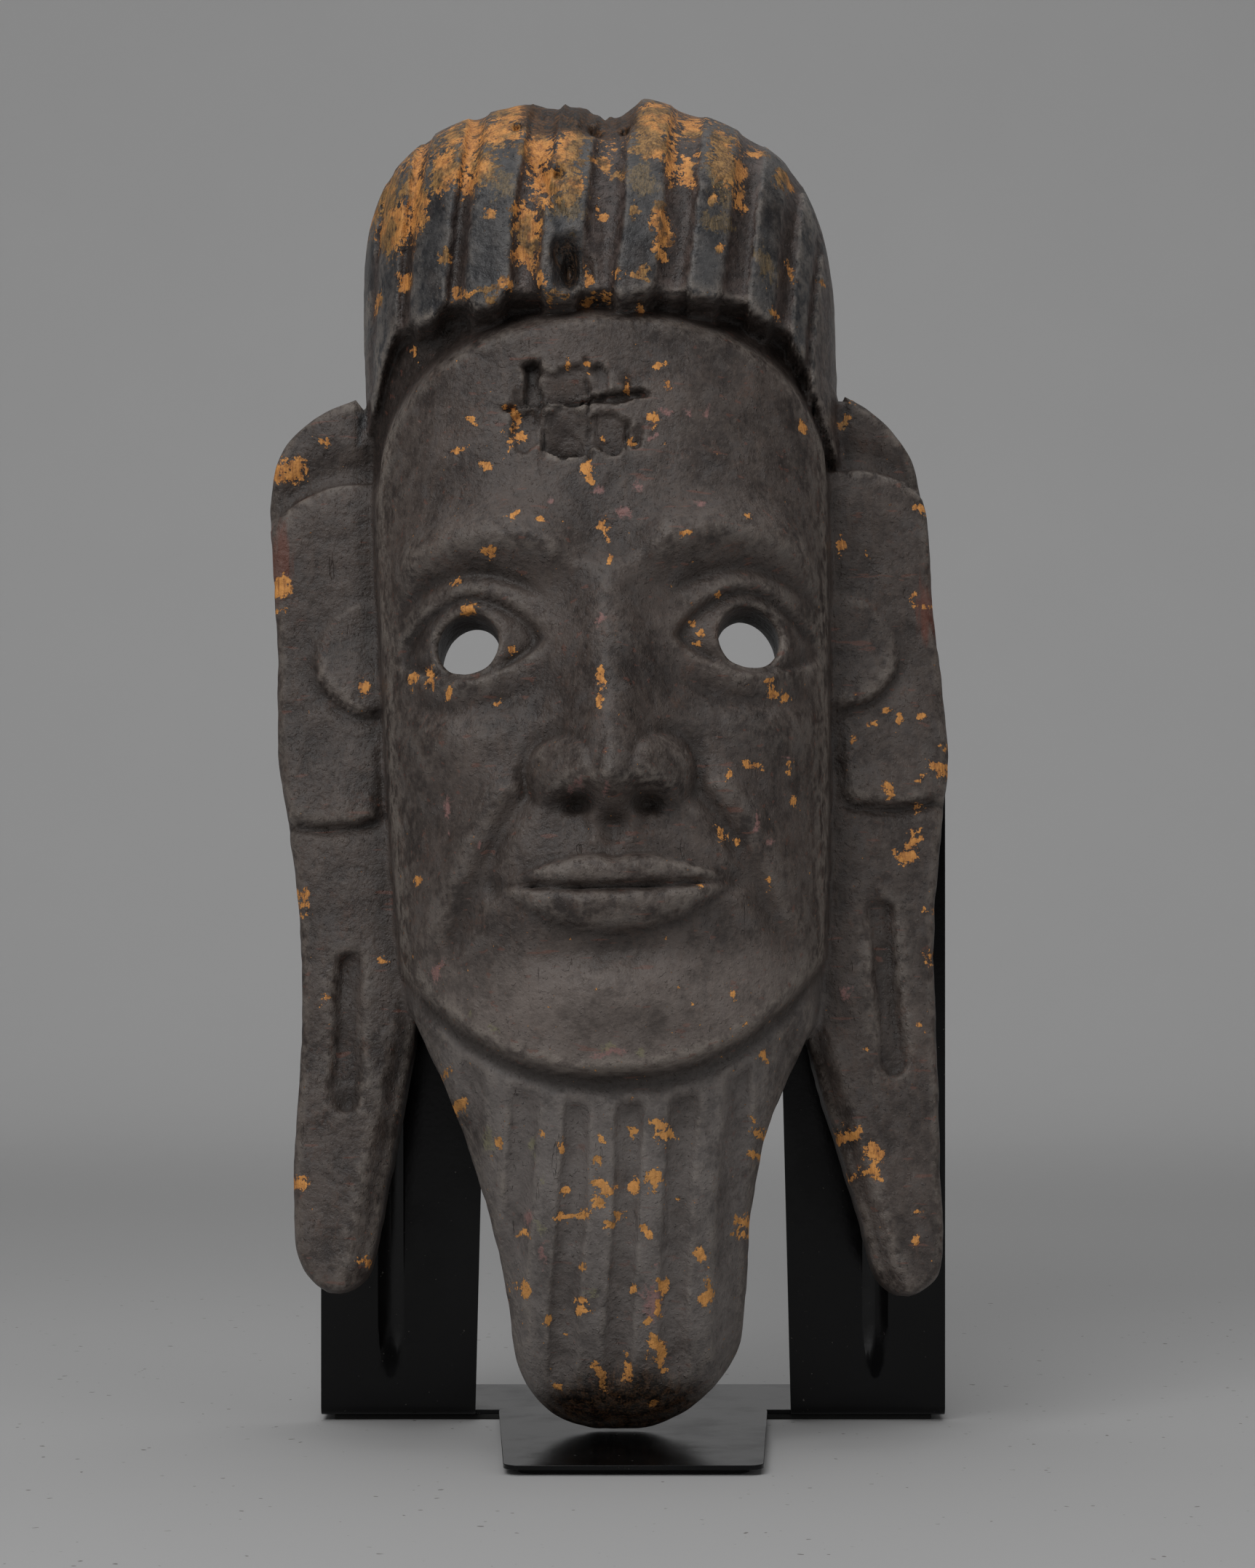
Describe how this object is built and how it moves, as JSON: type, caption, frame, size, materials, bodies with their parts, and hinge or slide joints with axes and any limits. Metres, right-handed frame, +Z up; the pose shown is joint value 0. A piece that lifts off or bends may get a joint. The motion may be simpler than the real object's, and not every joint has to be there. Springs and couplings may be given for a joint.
{
  "type": "carved wooden dance mask on a display stand",
  "caption": "Carved, painted wooden cham dance mask with fluted hair, long ear flaps and a fluted beard, leaning on a bent black steel stand.",
  "frame": {"origin": "under the middle of the object's bounding box, on the surface that the stand's foam foot rests on", "axes": "+Z up, the face looks along -Y, +X is to the viewer's right"},
  "size_m": [0.1564, 0.1268, 0.3065],
  "materials": {
    "painted_wood": "worn matt dark paint over bare orange-brown wood",
    "black_steel": "smooth black powder coat with a soft gloss",
    "black_foam": "matt black foam"
  },
  "bodies": {
    "root": {"mask": "painted_wood", "stand": "black_steel", "foam_foot": "black_foam"}
  },
  "joints": []
}
